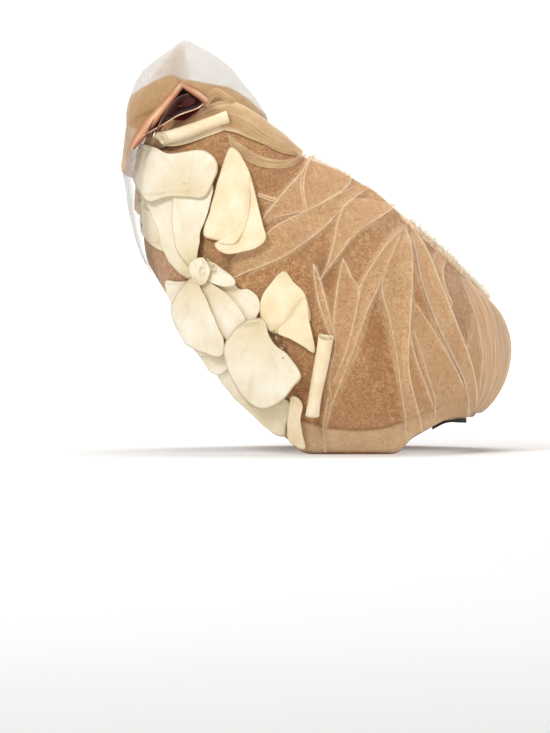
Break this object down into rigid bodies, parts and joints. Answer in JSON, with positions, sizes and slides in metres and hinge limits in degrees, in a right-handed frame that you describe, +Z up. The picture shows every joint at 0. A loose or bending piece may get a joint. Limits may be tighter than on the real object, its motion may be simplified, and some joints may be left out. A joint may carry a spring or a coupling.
{
  "type": "halo hat",
  "caption": "Felt halo hat with an open crown, draped in folded tulle, with silk flowers, rolled leaves and a satin bow.",
  "frame": {"origin": "on the surface that the hat stands on, under the middle of its footprint", "axes": "+Z up, front of the hat towards -X, decorated side towards -Y"},
  "size_m": [0.2733, 0.2482, 0.2876],
  "materials": {
    "felt": "fuzzy wool felt",
    "tulle": "fine matt net",
    "silk": "soft silk",
    "leaf": "brushed velvet",
    "satin": "glossy satin",
    "black_band": "ribbed grosgrain"
  },
  "bodies": {
    "root": {"felt_base": "felt", "tulle_drape": "tulle", "tulle_back_gather": "tulle", "crown_rim_binding": "tulle", "tulle_pouf": "tulle", "tulle_swag": "tulle", "front_veil": "tulle", "inner_band": "black_band", "satin_bow_loop_near": "satin", "satin_bow_loop_far": "satin", "satin_bow_fold": "satin", "upper_flower_heart": "silk", "lower_flower_heart": "silk", "upper_flower_petal_1": "silk", "upper_flower_petal_2": "silk", "upper_flower_petal_3": "silk", "upper_flower_petal_4": "silk", "upper_flower_petal_5": "silk", "lower_flower_petal_1": "silk", "lower_flower_petal_2": "silk", "lower_flower_petal_3": "silk", "lower_flower_petal_4": "silk", "lower_flower_petal_5": "silk", "lower_flower_petal_6": "silk", "lower_flower_petal_7": "silk", "pointed_leaf": "leaf", "folded_leaf_back": "leaf", "folded_leaf_front": "leaf", "edge_leaf": "leaf", "rolled_leaf_upper": "leaf", "rolled_leaf_lower": "leaf"}
  },
  "joints": []
}
